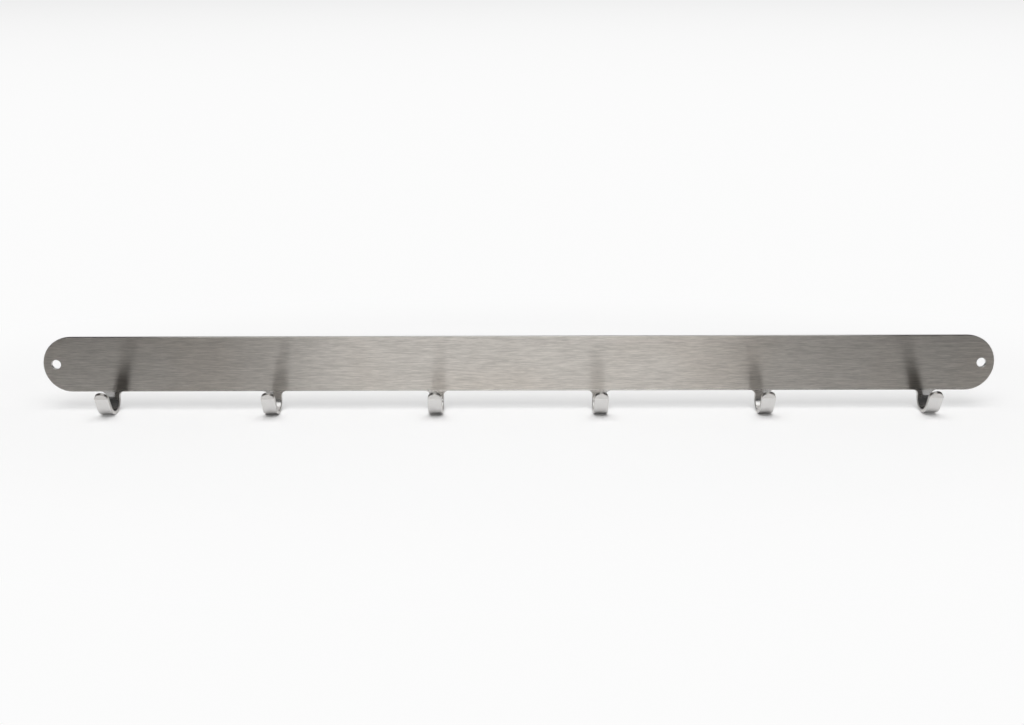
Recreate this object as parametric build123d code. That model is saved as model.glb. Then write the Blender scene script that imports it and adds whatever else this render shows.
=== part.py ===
from build123d import *
import os
from math import cos, radians, sin

# Wall rack for hanging kitchen utensils, one strip of stainless sheet, in millimetres.
# The bar stands in the XZ plane with its back face on the wall at y = 0 and its front looking along -Y.
# The origin lies on the back face, midway between the two screw holes, and +Z is up.

# Bar: a flat strip with full-round ends
bar_length = 410.0
bar_height = 24.0
sheet_thickness = 1.5

# Screw holes: one near each end, on the bar's centre line
hole_diameter = 4.0
hole_inset = 5.5  # from the end of the bar to the hole's centre

# Hooks: tongues left on the lower edge when the strip is cut, then bent forward and up
hook_count = 6
hook_end_inset = 29.0  # from each end of the bar to the middle of the nearest hook
hook_width = 6.0
root_fillet = 2.1  # round inside corner between the bar's lower edge and the tongue
root_land = 0.1  # straight stretch of tongue between those corners and the bend
bend_radius = 5.0  # inside of the bend
tip_lean = 29.0  # degrees by which the tip leans away from the wall
tip_length = 8.1  # straight end of the tongue, with its round tip

# Finish
edge_break = 0.2  # width of the small bevel rubbed onto every cut edge

# Places that follow from the sizes above
lower_edge = -bar_height / 2
front_face = -sheet_thickness
hole_offset = bar_length / 2 - hole_inset
hook_pitch = (bar_length - 2 * hook_end_inset) / (hook_count - 1)
hook_places = [hook_pitch * (i - (hook_count - 1) / 2) for i in range(hook_count)]
stub_length = root_fillet + root_land
bend_start = lower_edge - stub_length
bend_centre = Vector(0, front_face - bend_radius, bend_start)
bend_angle = 180.0 - tip_lean
tip_radius = hook_width / 2


def make_blank():
    """The flat strip with its holes, and the stub of each tongue with round inside corners."""
    with BuildSketch(Plane.XZ) as outline:
        SlotOverall(bar_length, bar_height)
        with Locations(*[(place, lower_edge) for place in hook_places]):
            Rectangle(hook_width, 2 * stub_length)
        # the lowest points are the stubs' ends, and the next row is the bar's lower edge,
        # where the first and last point belong to the bar's round ends
        stub_ends, edge_points, *others = outline.vertices().group_by(Axis.Y)
        fillet(edge_points.sort_by(Axis.X)[1:-1], root_fillet)
        with Locations((-hole_offset, 0), (hole_offset, 0)):
            Circle(hole_diameter / 2, mode=Mode.SUBTRACT)
    return extrude(outline.sketch, sheet_thickness)


def make_bend():
    """The tongue's section turned forward about the bend's centre line."""
    section_plane = Plane(origin=(0, front_face / 2, bend_start), x_dir=(1, 0, 0), z_dir=(0, 0, 1))
    section = section_plane * Rectangle(hook_width, sheet_thickness)
    centre_line = Axis(bend_centre, (-1, 0, 0))
    return revolve(section, axis=centre_line, revolution_arc=bend_angle)


def make_tip():
    """The straight end of the tongue, leaning away from the wall, with a full-round tip."""
    outward = Vector(0, -cos(radians(tip_lean)), -sin(radians(tip_lean)))
    inner_face = Plane(origin=bend_centre + outward * bend_radius, x_dir=(1, 0, 0), z_dir=outward)
    straight = tip_length - tip_radius
    with BuildSketch(inner_face) as outline:
        Rectangle(hook_width, straight, align=(Align.CENTER, Align.MIN))
        with Locations((0, straight)):
            Circle(tip_radius)
    return extrude(outline.sketch, sheet_thickness)


def meet_at_a_corner(edge, faces):
    """True where the two faces beside an edge stand square to each other, and don't run on smoothly."""
    middle = edge @ 0.5
    first, second = [face.normal_at(middle) for face in faces]
    return abs(first.dot(second)) < 0.5


def break_edges(part):
    """The part with a small bevel along every cut edge."""
    faces_beside = {}
    for face in part.faces():
        for edge in face.edges():
            faces_beside.setdefault(edge, []).append(face)
    cut_edges = [
        edge
        for edge, faces in faces_beside.items()
        if len(faces) == 2 and meet_at_a_corner(edge, faces)
    ]
    return chamfer(cut_edges, edge_break)


tongue = make_bend() + make_tip()
rack = make_blank() + [Pos(place, 0, 0) * tongue for place in hook_places]
rack = break_edges(rack)

os.makedirs("parts", exist_ok=True)
export_step(rack, "parts/hook_rack.step")
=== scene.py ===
from math import pi, radians

import bmesh
import bpy
from bpy.props import FloatProperty, FloatVectorProperty, PointerProperty
from bpy.types import NodeSocket, Operator, Panel, PropertyGroup
from mathutils import Matrix, Vector


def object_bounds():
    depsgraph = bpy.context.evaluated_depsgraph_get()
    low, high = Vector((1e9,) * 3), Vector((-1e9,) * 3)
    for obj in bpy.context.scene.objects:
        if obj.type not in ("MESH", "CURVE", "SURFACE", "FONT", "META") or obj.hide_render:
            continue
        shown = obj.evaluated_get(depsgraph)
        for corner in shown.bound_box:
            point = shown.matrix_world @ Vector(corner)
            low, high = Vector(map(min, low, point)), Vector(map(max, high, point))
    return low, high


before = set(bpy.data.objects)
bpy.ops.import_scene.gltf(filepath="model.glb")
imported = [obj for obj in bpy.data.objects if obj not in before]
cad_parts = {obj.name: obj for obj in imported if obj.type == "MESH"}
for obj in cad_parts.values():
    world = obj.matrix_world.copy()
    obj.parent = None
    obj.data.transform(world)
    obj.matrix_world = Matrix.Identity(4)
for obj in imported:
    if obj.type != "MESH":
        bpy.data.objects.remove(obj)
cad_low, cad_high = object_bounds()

bl_info = {
    "name": "Utensil Rack Finish",
    "version": (1, 0, 0),
    "blender": (4, 5, 0),
    "location": "3D View > Sidebar > Rack",
    "description": "Brushed stainless finish and a table-top studio for a wall rack with six hooks",
    "category": "Material",
}

RACK_NODE = "hook_rack"

# Height of the bar's lower edge, as far below the rack's origin as the upper edge is above it
BAR_BOTTOM = -cad_high.z

# Lengths in metres: how far below the bar's lower edge a face still counts as the bar's,
# and half the height over which the bar's finish goes over into that of the hooks
EDGE_MARGIN = 0.0006
HOOK_FADE = 0.001

# How squarely a face of the bar looks along Y, and how far the side of a hook looks along X, at the least
FACE_LOOK = 0.9
SIDE_LOOK = 0.3

# Fine scratches, broad scratches and bands each have their own noise
FINE_SEED = 1.0
BROAD_SEED = 2.0
BAND_SEED = 3.0

# Broad scratches and bands as multiples of the length and width of a fine scratch
BROAD_LENGTH = 2.5
BROAD_WIDTH = 3.5
BAND_LENGTH = 8.0
BAND_WIDTH = 14.0

# Share of the fine scratches in the grain, the rest being broad ones
FINE_SHARE = 0.5

# Range of the noise over which scratches go from dark to bright, and layers of finer noise in it
GRAIN_RANGE = (0.3, 0.7)
GRAIN_DETAIL = 2.0

# Warm patches: the same two values, and how many patches there are to a metre
PATCH_RANGE = (0.45, 0.65)
PATCH_DETAIL = 1.0
PATCHES_PER_METRE = 18.0

# How much darker the scratches are than the sheet, and how far roughness departs from its mean
SCRATCH_DARKNESS = 0.36
ROUGHNESS_SPREAD = 0.02

# Relief of the hooks and cut edges as a share of that of the bar
SHALLOW_RELIEF = 0.3

# Mean and standard deviation of the sum of three even random numbers from 0 to 1
RANDOM_MEAN = 1.5
RANDOM_SPREAD = 0.5

# The grain runs along X, with small side parts that keep it clear of the faces that look along X,
# and reflections are drawn out a quarter turn from it
ALONG_GRAIN = (1.0, 0.011, 0.023)
QUARTER_TURN = 0.25

# Round table: radius in metres, and sides of its outline
FLOOR_RADIUS = 6.0
FLOOR_SIDES = 96

# Brightness at the rim of the table as a share of that near the rack,
# and the distance in metres at which it starts to fall
RIM_SHARE = 0.88
RIM_START = 0.5

# Distances from the rack count less along the bar, so that the lit part of the table is a long oval;
# over these distances in metres it goes over into the backdrop that is seen, and into what the steel mirrors
OVAL = (0.45, 1.0, 0.0)
SEEN_FADE = (0.06, 0.16)
MIRRORED_FADE = (0.12, 0.30)

# Strip of the table in metres, from the hooks' feet towards the wall, over which the shadow gets thinner
LIFT_FADE = (-0.006, 0.0)

# Black cards: sizes in metres, and places in front of the rack (below 0) or behind it
CARD_HEIGHT = 1.0
FRONT_CARD_WIDTH = 3.0
FRONT_CARD_PLACE = -1.15
SIDE_CARD_WIDTH = 2.2
SIDE_CARD_PLACE = 0.1
CARD_COLOUR = (0.02, 0.02, 0.02, 1.0)
CARD_ROUGHNESS = 0.9

# Camera: width in millimetres of the picture area that its lens is given for, and nearest distance in metres
SENSOR_WIDTH = 36.0
CLIP_START = 0.01


# Settings that a user would change

class BrushedSteel(PropertyGroup):
    """Colours and grain of the brushed sheet"""

    steel_colour: FloatVectorProperty(
        name="Steel",
        description="Colour of the brushed sheet",
        subtype="COLOR",
        size=3,
        min=0.0,
        max=1.0,
        default=(0.65, 0.615, 0.572),
    )
    warm_colour: FloatVectorProperty(
        name="Warm Cast",
        description="Colour of the faint warm patches in the sheet",
        subtype="COLOR",
        size=3,
        min=0.0,
        max=1.0,
        default=(0.65, 0.605, 0.554),
    )
    # the hooks are less scratched than the bar, and their colour is also set brighter than the bar's as a
    # painted sheen for the light their fronts mirror
    hook_colour_and_sheen: FloatVectorProperty(
        name="Hooks",
        description="Colour of the hooks, which are less scratched than the bar",
        subtype="COLOR",
        size=3,
        min=0.0,
        max=1.0,
        default=(0.69, 0.68, 0.67),
    )
    edge_colour: FloatVectorProperty(
        name="Edges",
        description="Colour of the cut edges, which are rubbed bright",
        subtype="COLOR",
        size=3,
        min=0.0,
        max=1.0,
        default=(0.67, 0.655, 0.635),
    )
    sheet_roughness: FloatProperty(
        name="Sheet Roughness",
        description="Mean roughness of the brushed faces",
        subtype="FACTOR",
        min=0.0,
        max=1.0,
        default=0.295,
    )
    hook_roughness: FloatProperty(
        name="Hook Roughness",
        description="Roughness of the hooks, which bending and handling left smoother than the bar",
        subtype="FACTOR",
        min=0.0,
        max=1.0,
        default=0.17,
    )
    edge_roughness: FloatProperty(
        name="Edge Roughness",
        description="Roughness of the cut edges",
        subtype="FACTOR",
        min=0.0,
        max=1.0,
        default=0.28,
    )
    stretch: FloatProperty(
        name="Stretch",
        description="How far reflections are drawn out across the grain",
        subtype="FACTOR",
        min=0.0,
        max=1.0,
        default=1.0,
    )
    brush_tilt: FloatProperty(
        name="Brush Tilt",
        description="Usual slope of the finest brush strokes across the grain",
        subtype="FACTOR",
        min=0.0,
        max=1.0,
        default=0.27,
    )
    scratch_length: FloatProperty(
        name="Scratch Length",
        description="Usual length of one brush scratch along the bar",
        unit="LENGTH",
        min=0.001,
        default=0.0028,
    )
    scratch_width: FloatProperty(
        name="Scratch Width",
        description="Usual width of one brush scratch",
        unit="LENGTH",
        min=0.00005,
        default=0.00012,
    )
    scratch_depth: FloatProperty(
        name="Scratch Depth",
        description="Depth of the deepest brush scratches",
        unit="LENGTH",
        min=0.0,
        default=0.00003,
    )


class TableStudio(PropertyGroup):
    """Table, lamps, cards and camera"""

    floor_colour: FloatVectorProperty(
        name="Floor",
        description="Colour of the white table",
        subtype="COLOR",
        size=3,
        min=0.0,
        max=1.0,
        default=(0.96, 0.96, 0.96),
    )
    backdrop_level: FloatProperty(
        name="Backdrop",
        description="Brightness of the white surroundings of the rack",
        subtype="FACTOR",
        min=0.0,
        max=1.0,
        default=0.97,
    )
    shadow_lift: FloatProperty(
        name="Shadow Lift",
        description="Share of the backdrop in the table behind the hooks, which thins the shadow there",
        subtype="FACTOR",
        min=0.0,
        max=1.0,
        default=0.50,
    )
    room_level: FloatProperty(
        name="Room",
        description="Brightness of the even light in the room",
        subtype="FACTOR",
        min=0.0,
        max=1.0,
        default=0.27,
    )
    mirrored_level: FloatProperty(
        name="Mirrored Room",
        description="Brightness of the room where the steel mirrors it",
        subtype="FACTOR",
        min=0.0,
        max=1.0,
        default=0.04,
    )
    table_slope: FloatProperty(
        name="Lean",
        description="How far the rack leans back from upright on the table",
        subtype="ANGLE",
        default=radians(10.0),
    )
    panel_place: FloatVectorProperty(
        name="Panel Place",
        description="Middle of the bright panel that the front of the rack mirrors",
        subtype="XYZ",
        unit="LENGTH",
        size=3,
        default=(-0.005, -0.95, 0.57),
    )
    panel_width: FloatProperty(
        name="Panel Width",
        description="Width of the panel in front of the rack",
        unit="LENGTH",
        default=0.60,
    )
    panel_depth: FloatProperty(
        name="Panel Depth",
        description="Size across its width of the panel in front of the rack",
        unit="LENGTH",
        default=0.40,
    )
    panel_power: FloatProperty(
        name="Panel Power",
        description="Power of the panel in front of the rack",
        unit="POWER",
        default=2.25,
    )
    top_place: FloatVectorProperty(
        name="Top Place",
        description="Middle of the softbox above the rack, which lights the table",
        subtype="XYZ",
        unit="LENGTH",
        size=3,
        default=(0.0, -0.139, 0.990),
    )
    top_width: FloatProperty(
        name="Top Width",
        description="Width of the softbox above the rack",
        unit="LENGTH",
        default=1.4,
    )
    top_depth: FloatProperty(
        name="Top Depth",
        description="Front-to-back size of the softbox above the rack",
        unit="LENGTH",
        default=0.75,
    )
    top_power: FloatProperty(
        name="Top Power",
        description="Power of the softbox above the rack",
        unit="POWER",
        default=10.0,
    )
    mirrored_place: FloatVectorProperty(
        name="Mirrored Place",
        description="Middle of the dimmer panel just under the softbox, which the steel mirrors",
        subtype="XYZ",
        unit="LENGTH",
        size=3,
        default=(0.0, -0.13205, 0.9405),
    )
    top_mirrored: FloatProperty(
        name="Top Mirrored",
        description="Power of the dimmer panel as a share of that of the softbox",
        subtype="FACTOR",
        min=0.0,
        max=1.0,
        default=0.45,
    )
    card_gap: FloatProperty(
        name="Card Gap",
        description="From the middle of the rack to each black card at its sides",
        unit="LENGTH",
        default=0.45,
    )
    camera_place: FloatVectorProperty(
        name="Camera Place",
        description="Where the camera stands",
        subtype="XYZ",
        unit="LENGTH",
        size=3,
        default=(-0.00071, -0.45889, 0.08740),
    )
    camera_pitch: FloatProperty(
        name="Pitch",
        description="How far the camera looks down",
        subtype="ANGLE",
        default=radians(10.76),
    )
    camera_yaw: FloatProperty(
        name="Yaw",
        description="How far the camera is turned to the left",
        subtype="ANGLE",
        default=radians(0.234),
    )
    camera_roll: FloatProperty(
        name="Roll",
        description="How far the camera leans",
        subtype="ANGLE",
        default=radians(-0.183),
    )
    camera_lens: FloatProperty(
        name="Lens",
        description="Focal length for a picture area 36 mm wide",
        unit="CAMERA",
        default=37.97,
    )


# Small helpers for shader nodes

def add_node(tree, kind, inputs=(), **settings):
    """A new node, with its inputs linked to sockets or set to plain values."""
    node = tree.nodes.new(kind)
    for name, value in settings.items():
        setattr(node, name, value)
    for name, value in dict(inputs).items():
        if isinstance(value, NodeSocket):
            tree.links.new(value, node.inputs[name])
        else:
            node.inputs[name].default_value = value
    return node


def calculate(tree, operation, first, second=0.0):
    """The result of a Math node."""
    node = add_node(tree, "ShaderNodeMath", {0: first, 1: second}, operation=operation)
    return node.outputs["Value"]


def vector_node(tree, operation, *vectors):
    """A Vector Math node with its vectors in order."""
    return add_node(tree, "ShaderNodeVectorMath", enumerate(vectors), operation=operation)


def blend_colours(tree, factor, first, second):
    """The colour between two others."""
    node = add_node(tree, "ShaderNodeMix", {"Factor": factor}, data_type="RGBA")
    for socket, colour in zip(node.inputs[6:8], (first, second)):
        if isinstance(colour, NodeSocket):
            tree.links.new(colour, socket)
        else:
            socket.default_value = (*colour, 1.0)
    return node.outputs[2]


def blend_values(tree, factor, first, second):
    """The value between two others."""
    node = add_node(tree, "ShaderNodeMix", {"Factor": factor, "A": first, "B": second})
    return node.outputs["Result"]


def spread(tree, value, low, high, new_low=0.0, new_high=1.0):
    """A value carried smoothly from one range to another, and held at the ends."""
    limits = {"Value": value, "From Min": low, "From Max": high, "To Min": new_low, "To Max": new_high}
    node = add_node(tree, "ShaderNodeMapRange", limits, interpolation_type="SMOOTHSTEP")
    return node.outputs["Result"]


def object_place(tree):
    """The shaded point in the object's own frame, in metres."""
    return add_node(tree, "ShaderNodeTexCoord").outputs["Object"]


# Brushed stainless finish

def brush_grain(steel):
    """A node group whose value runs in thin lines along the bar."""
    tree = bpy.data.node_groups.new("brush_grain", "ShaderNodeTree")
    defaults = {"Length": steel.scratch_length, "Width": steel.scratch_width, "Seed": FINE_SEED}
    for name, default in defaults.items():
        socket = tree.interface.new_socket(name, in_out="INPUT", socket_type="NodeSocketFloat")
        socket.default_value = default
    tree.interface.new_socket("Lines", in_out="OUTPUT", socket_type="NodeSocketFloat")
    given = add_node(tree, "NodeGroupInput")
    along = calculate(tree, "DIVIDE", 1.0, given.outputs["Length"])
    across = calculate(tree, "DIVIDE", 1.0, given.outputs["Width"])
    stretch = add_node(tree, "ShaderNodeCombineXYZ", {"X": along, "Y": across, "Z": across})
    place = vector_node(tree, "MULTIPLY", object_place(tree), stretch.outputs["Vector"])
    lines = add_node(
        tree,
        "ShaderNodeTexNoise",
        {
            "Vector": place.outputs["Vector"],
            "W": given.outputs["Seed"],
            "Scale": 1.0,
            "Detail": GRAIN_DETAIL,
        },
        noise_dimensions="4D",
    )
    add_node(tree, "NodeGroupOutput", {"Lines": lines.outputs["Fac"]})
    return tree


def grain_lines(tree, group, length, width, seed):
    """The lines of the grain group at one size."""
    node = add_node(tree, "ShaderNodeGroup", node_tree=group)
    node.inputs["Length"].default_value = length
    node.inputs["Width"].default_value = width
    node.inputs["Seed"].default_value = seed
    return node.outputs["Lines"]


def brush_normal(tree, normal, slope):
    """The normal with the tilt of strokes far finer than the picture, all of them across the grain."""
    random = add_node(tree, "ShaderNodeTexWhiteNoise", {"Vector": object_place(tree)}, noise_dimensions="3D")
    total = vector_node(tree, "DOT_PRODUCT", random.outputs["Color"], (1.0, 1.0, 1.0))
    lean = calculate(tree, "SUBTRACT", total.outputs["Value"], RANDOM_MEAN)
    tilt = calculate(tree, "MULTIPLY", lean, calculate(tree, "DIVIDE", slope, RANDOM_SPREAD))
    across = vector_node(tree, "CROSS_PRODUCT", (1.0, 0.0, 0.0), normal)
    step = add_node(
        tree,
        "ShaderNodeVectorMath",
        {0: across.outputs["Vector"], "Scale": tilt},
        operation="SCALE",
    )
    tilted = vector_node(tree, "ADD", normal, step.outputs["Vector"])
    return vector_node(tree, "NORMALIZE", tilted.outputs["Vector"]).outputs["Vector"]


def cut_edge_mask(tree):
    """1 on the thin cut edges of the sheet, 0 on its brushed faces.

    The faces of the hooks never look along X, and the faces of the bar look along Y.
    """
    normal = add_node(tree, "ShaderNodeTexCoord").outputs["Normal"]
    facing = add_node(tree, "ShaderNodeSeparateXYZ", {"Vector": normal})
    place = add_node(tree, "ShaderNodeSeparateXYZ", {"Vector": object_place(tree)})
    sideways = calculate(tree, "ABSOLUTE", facing.outputs["X"])
    forward = calculate(tree, "ABSOLUTE", facing.outputs["Y"])
    on_bar = calculate(tree, "GREATER_THAN", place.outputs["Z"], BAR_BOTTOM - EDGE_MARGIN)
    beside_bar = calculate(tree, "MULTIPLY", on_bar, calculate(tree, "LESS_THAN", forward, FACE_LOOK))
    beside_hook = calculate(tree, "GREATER_THAN", sideways, SIDE_LOOK)
    return calculate(tree, "MAXIMUM", beside_bar, beside_hook)


def hook_mask(tree):
    """1 on the hooks, 0 on the bar, changing over around the bar's lower edge."""
    place = add_node(tree, "ShaderNodeSeparateXYZ", {"Vector": object_place(tree)})
    return spread(tree, place.outputs["Z"], BAR_BOTTOM - HOOK_FADE, BAR_BOTTOM + HOOK_FADE, 1.0, 0.0)


def brushed_stainless(steel):
    """Stainless sheet brushed along its length, with smoother hooks and bright cut edges."""
    material = bpy.data.materials.new("brushed_stainless")
    material.use_nodes = True
    tree = material.node_tree
    shader = tree.nodes["Principled BSDF"]
    group = brush_grain(steel)

    length = steel.scratch_length
    width = steel.scratch_width
    fine = grain_lines(tree, group, length, width, FINE_SEED)
    broad = grain_lines(tree, group, BROAD_LENGTH * length, BROAD_WIDTH * width, BROAD_SEED)
    bands = grain_lines(tree, group, BAND_LENGTH * length, BAND_WIDTH * width, BAND_SEED)
    lines = blend_values(tree, FINE_SHARE, broad, fine)
    edges = cut_edge_mask(tree)
    hooks = hook_mask(tree)
    smooth_parts = calculate(tree, "MAXIMUM", edges, hooks)

    # colour: darker in the scratches, with faint warm patches, and plain on the hooks and edges; the hooks'
    # colour is also set brighter than the bar's, a painted sheen for the light their fronts mirror
    patches = add_node(
        tree,
        "ShaderNodeTexNoise",
        {"Vector": object_place(tree), "Scale": PATCHES_PER_METRE, "Detail": PATCH_DETAIL},
    )
    warmth = spread(tree, patches.outputs["Fac"], *PATCH_RANGE)
    sheet = blend_colours(tree, warmth, steel.steel_colour, steel.warm_colour)
    dark_sheet = blend_colours(tree, SCRATCH_DARKNESS, sheet, (0.0, 0.0, 0.0))
    grained = blend_colours(tree, spread(tree, lines, *GRAIN_RANGE), dark_sheet, sheet)
    faces = blend_colours(tree, hooks, grained, steel.hook_colour_and_sheen)
    colour = blend_colours(tree, edges, faces, steel.edge_colour)
    tree.links.new(colour, shader.inputs["Base Color"])

    # roughness: uneven along the bands, lower on the hooks and edges
    rough_low = steel.sheet_roughness - ROUGHNESS_SPREAD
    rough_high = steel.sheet_roughness + ROUGHNESS_SPREAD
    rough_bar = spread(tree, bands, *GRAIN_RANGE, rough_low, rough_high)
    rough_faces = blend_values(tree, hooks, rough_bar, steel.hook_roughness)
    roughness = blend_values(tree, edges, rough_faces, steel.edge_roughness)
    tree.links.new(roughness, shader.inputs["Roughness"])

    # relief: the scratches themselves, shallower on the hooks and edges, and the finest strokes on the bar
    shallow = blend_values(tree, smooth_parts, 1.0, SHALLOW_RELIEF)
    height = calculate(tree, "MULTIPLY", lines, shallow)
    relief = add_node(tree, "ShaderNodeBump", {"Height": height, "Distance": steel.scratch_depth})
    slope = blend_values(tree, smooth_parts, steel.brush_tilt, 0.0)
    tree.links.new(brush_normal(tree, relief.outputs["Normal"], slope), shader.inputs["Normal"])

    # reflections drawn out across the grain
    along_grain = add_node(tree, "ShaderNodeCombineXYZ", zip("XYZ", ALONG_GRAIN))
    tree.links.new(along_grain.outputs["Vector"], shader.inputs["Tangent"])
    shader.inputs["Anisotropic"].default_value = steel.stretch
    shader.inputs["Anisotropic Rotation"].default_value = QUARTER_TURN
    shader.inputs["Metallic"].default_value = 1.0
    return material


class RACK_OT_brush_steel(Operator):
    """Give the rack its brushed stainless finish"""

    bl_idname = "rack.brush_steel"
    bl_label = "Brush the Steel"

    def execute(self, context):
        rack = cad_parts[RACK_NODE]
        if not rack.material_slots:
            raise RuntimeError("the rack has no material slot to finish")
        rack.material_slots[0].material = brushed_stainless(context.scene.rack_steel)
        return {"FINISHED"}


# Studio

def add_mesh(name, shape, material):
    """A stage object made from a finished bmesh."""
    mesh = bpy.data.meshes.new(name)
    shape.to_mesh(mesh)
    shape.free()
    mesh.materials.append(material)
    thing = bpy.data.objects.new(name, mesh)
    bpy.context.scene.collection.objects.link(thing)
    return thing


def table_white(studio):
    """Matt white near the rack, and an even white backdrop to the camera far from it.

    Behind the hooks some of the backdrop is mixed in, which thins the bar's shadow.
    """
    material = bpy.data.materials.new("table_white")
    material.use_nodes = True
    tree = material.node_tree
    tree.nodes.remove(tree.nodes["Principled BSDF"])
    place = object_place(tree)
    seen = add_node(tree, "ShaderNodeLightPath").outputs["Is Camera Ray"]

    # where the table goes over into the backdrop
    flattened = vector_node(tree, "MULTIPLY", place, OVAL)
    from_rack = vector_node(tree, "LENGTH", flattened.outputs["Vector"]).outputs["Value"]
    mirrored_far = spread(tree, from_rack, *MIRRORED_FADE)
    depth = add_node(tree, "ShaderNodeSeparateXYZ", {"Vector": place}).outputs["Y"]
    lifted = spread(tree, depth, *LIFT_FADE, 0.0, studio.shadow_lift)
    seen_far = calculate(tree, "MAXIMUM", lifted, spread(tree, from_rack, *SEEN_FADE))
    far = blend_values(tree, seen, mirrored_far, seen_far)

    # how bright the backdrop is
    level = studio.backdrop_level
    distance = vector_node(tree, "LENGTH", place).outputs["Value"]
    faded = spread(tree, distance, RIM_START, FLOOR_RADIUS, level, RIM_SHARE * level)
    glow = add_node(tree, "ShaderNodeEmission", {"Strength": calculate(tree, "MULTIPLY", faded, seen)})

    paint = add_node(tree, "ShaderNodeBsdfDiffuse", {"Color": (*studio.floor_colour, 1.0)})
    surface = add_node(
        tree,
        "ShaderNodeMixShader",
        {"Fac": far, 1: paint.outputs["BSDF"], 2: glow.outputs["Emission"]},
    )
    tree.links.new(surface.outputs["Shader"], tree.nodes["Material Output"].inputs["Surface"])
    return material


def table_frame(studio):
    """The table's own frame: the rack leans back from upright, with its hooks resting on the table."""
    turn = Matrix.Rotation(studio.table_slope, 4, "X")
    up = turn.to_3x3() @ Vector((0.0, 0.0, 1.0))
    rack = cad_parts[RACK_NODE]
    lowest = min(up.dot(rack.matrix_world @ vertex.co) for vertex in rack.data.vertices)
    return Matrix.Translation(up * lowest) @ turn


def lay_floor(studio, table):
    """A round white table."""
    shape = bmesh.new()
    bmesh.ops.create_circle(shape, cap_ends=True, segments=FLOOR_SIDES, radius=FLOOR_RADIUS)
    floor = add_mesh("floor", shape, table_white(studio))
    floor.matrix_world = table


def card_black():
    """Matt black card."""
    material = bpy.data.materials.new("card_black")
    material.use_nodes = True
    shader = material.node_tree.nodes["Principled BSDF"]
    shader.inputs["Base Color"].default_value = CARD_COLOUR
    shader.inputs["Roughness"].default_value = CARD_ROUGHNESS
    return material


def stand_card(name, table, width, x, y, turn, material):
    """An upright card that the steel mirrors, but that throws no shadow and isn't in the picture."""
    # a square with sides of 1, drawn out to the size of the card
    shape = bmesh.new()
    bmesh.ops.create_grid(shape, x_segments=1, y_segments=1, size=0.5)
    bmesh.ops.scale(shape, verts=shape.verts, vec=(width, CARD_HEIGHT, 1.0))
    middle = Matrix.Translation((x, y, CARD_HEIGHT / 2))
    upright = Matrix.Rotation(turn, 4, "Z") @ Matrix.Rotation(pi / 2, 4, "X")
    card = add_mesh(name, shape, material)
    card.matrix_world = table @ middle @ upright
    card.visible_camera = False
    card.visible_diffuse = False
    card.visible_shadow = False


def hang_lamp(name, table, place, width, depth, power):
    """An area lamp that looks at the middle of the table and isn't in the picture."""
    lamp = bpy.data.lights.new(name, "AREA")
    lamp.shape = "RECTANGLE"
    lamp.size = width
    lamp.size_y = depth
    lamp.energy = power
    holder = bpy.data.objects.new(name, lamp)
    aim = (-Vector(place)).to_track_quat("-Z", "Y")
    holder.matrix_world = table @ Matrix.Translation(place) @ aim.to_matrix().to_4x4()
    holder.visible_camera = False
    bpy.context.scene.collection.objects.link(holder)
    return holder


def hang_lamps(studio, table):
    """A panel in front that is only mirrored, and a softbox above whose mirrored image is a dimmer panel."""
    front = hang_lamp(
        "front_panel",
        table,
        studio.panel_place,
        studio.panel_width,
        studio.panel_depth,
        studio.panel_power,
    )
    front.visible_diffuse = False
    softbox = hang_lamp(
        "top_softbox",
        table,
        studio.top_place,
        studio.top_width,
        studio.top_depth,
        studio.top_power,
    )
    softbox.visible_glossy = False
    mirrored = hang_lamp(
        "top_panel",
        table,
        studio.mirrored_place,
        studio.top_width,
        studio.top_depth,
        studio.top_mirrored * studio.top_power,
    )
    mirrored.visible_diffuse = False


def light_room(studio):
    """Even light, dark where the steel mirrors it, and a white backdrop that only the camera sees."""
    world = bpy.data.worlds.new("room")
    world.use_nodes = True
    tree = world.node_tree
    path = add_node(tree, "ShaderNodeLightPath")
    room = blend_values(tree, path.outputs["Is Glossy Ray"], studio.room_level, studio.mirrored_level)
    backdrop = RIM_SHARE * studio.backdrop_level
    level = blend_values(tree, path.outputs["Is Camera Ray"], room, backdrop)
    tree.links.new(level, tree.nodes["Background"].inputs["Color"])
    bpy.context.scene.world = world


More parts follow.
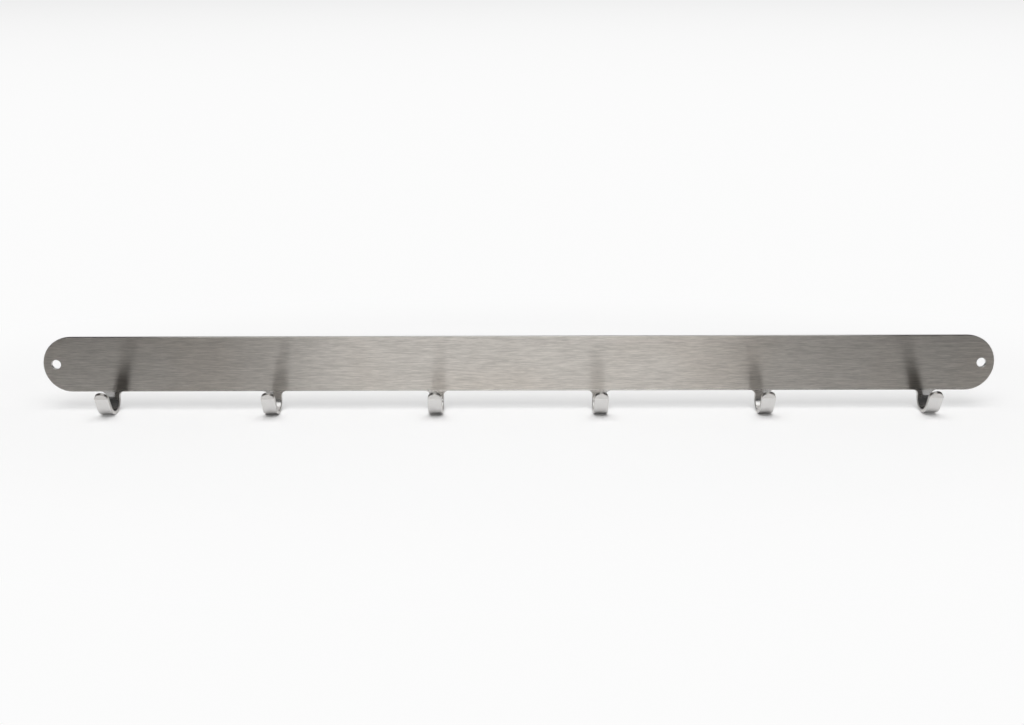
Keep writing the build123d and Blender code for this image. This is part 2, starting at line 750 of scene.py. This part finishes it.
def place_camera(studio):
    """The camera at the photograph's viewing angle."""
    data = bpy.data.cameras.new("camera")
    data.sensor_width = SENSOR_WIDTH
    data.lens = studio.camera_lens
    data.clip_start = CLIP_START
    camera = bpy.data.objects.new("camera", data)
    bpy.context.scene.collection.objects.link(camera)
    turn = Matrix.Rotation(studio.camera_yaw, 4, "Z")
    tilt = Matrix.Rotation(pi / 2 - studio.camera_pitch, 4, "X")
    lean = Matrix.Rotation(studio.camera_roll, 4, "Z")
    camera.matrix_world = Matrix.Translation(studio.camera_place) @ turn @ tilt @ lean
    bpy.context.scene.camera = camera


class RACK_OT_build_studio(Operator):
    """Set up the white table, the lamps, the black cards and the camera"""

    bl_idname = "rack.build_studio"
    bl_label = "Build the Studio"

    def execute(self, context):
        studio = context.scene.rack_studio
        table = table_frame(studio)
        lay_floor(studio, table)
        light_room(studio)
        hang_lamps(studio, table)
        black = card_black()
        gap = studio.card_gap
        stand_card("front_card", table, FRONT_CARD_WIDTH, 0.0, FRONT_CARD_PLACE, 0.0, black)
        stand_card("left_card", table, SIDE_CARD_WIDTH, -gap, SIDE_CARD_PLACE, pi / 2, black)
        stand_card("right_card", table, SIDE_CARD_WIDTH, gap, SIDE_CARD_PLACE, pi / 2, black)
        place_camera(studio)
        context.scene.view_settings.view_transform = "Standard"
        return {"FINISHED"}


class RACK_PT_sidebar(Panel):
    """Settings and steps of the rack's finish and studio"""

    bl_label = "Utensil Rack"
    bl_space_type = "VIEW_3D"
    bl_region_type = "UI"
    bl_category = "Rack"

    def draw(self, context):
        for heading, settings, operator in (
            ("Steel", context.scene.rack_steel, RACK_OT_brush_steel),
            ("Studio", context.scene.rack_studio, RACK_OT_build_studio),
        ):
            box = self.layout.box()
            box.label(text=heading)
            for name in settings.__annotations__:
                box.prop(settings, name)
            box.operator(operator.bl_idname)


CLASSES = (BrushedSteel, TableStudio, RACK_OT_brush_steel, RACK_OT_build_studio, RACK_PT_sidebar)


def register():
    for kind in CLASSES:
        bpy.utils.register_class(kind)
    bpy.types.Scene.rack_steel = PointerProperty(type=BrushedSteel)
    bpy.types.Scene.rack_studio = PointerProperty(type=TableStudio)


def unregister():
    del bpy.types.Scene.rack_studio
    del bpy.types.Scene.rack_steel
    for kind in reversed(CLASSES):
        bpy.utils.unregister_class(kind)


def main():
    register()
    bpy.ops.rack.brush_steel()
    bpy.ops.rack.build_studio()
    bpy.context.view_layer.update()


if __name__ == "__main__":
    main()
